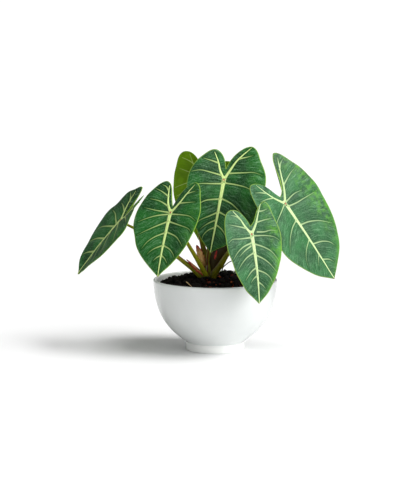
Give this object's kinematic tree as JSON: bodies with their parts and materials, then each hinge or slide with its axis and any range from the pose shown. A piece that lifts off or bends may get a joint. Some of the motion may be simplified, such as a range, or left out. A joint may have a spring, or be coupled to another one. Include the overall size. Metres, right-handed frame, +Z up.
{
  "type": "potted alocasia plant",
  "caption": "Leafy houseplant with heart-shaped, pale-veined leaves on long stalks rising from one crown in soil, in a round white glazed bowl on a short foot.",
  "frame": {"origin": "on the pot's axis, at the flat underside of its foot", "axes": "+Z up; -Y towards the side that most leaf faces look to; +X to the right as seen from there"},
  "size_m": [0.3369, 0.1987, 0.2626],
  "materials": {
    "pot_glaze": "gloss",
    "potting_soil": "matte",
    "crown_skin": "matte",
    "stalk_skin": "satin",
    "leaf_blade": "satin",
    "young_leaf_blade": "satin",
    "back_leaf_blade": "satin",
    "dry_sheath": "matte",
    "bark": "matte",
    "straw": "matte",
    "rootlet_skin": "matte"
  },
  "bodies": {
    "root": {"pot": "pot_glaze", "soil": "potting_soil", "crown": "crown_skin", "stalk_left": "stalk_skin", "stalk_front_left": "stalk_skin", "stalk_back": "stalk_skin", "stalk_centre": "stalk_skin", "stalk_front_right": "stalk_skin", "stalk_right": "stalk_skin", "leaf_left": "leaf_blade", "leaf_front_left": "leaf_blade", "leaf_back": "back_leaf_blade", "leaf_centre": "leaf_blade", "leaf_front_right": "young_leaf_blade", "leaf_right": "young_leaf_blade", "sheath_left": "dry_sheath", "sheath_middle": "dry_sheath", "sheath_right": "dry_sheath", "bark_chip_1": "bark", "bark_chip_2": "bark", "bark_chip_3": "bark", "bark_chip_4": "bark", "bark_chip_5": "bark", "bark_chip_6": "bark", "bark_chip_7": "bark", "bark_chip_8": "bark", "straw": "straw", "rootlet": "rootlet_skin"}
  },
  "joints": []
}
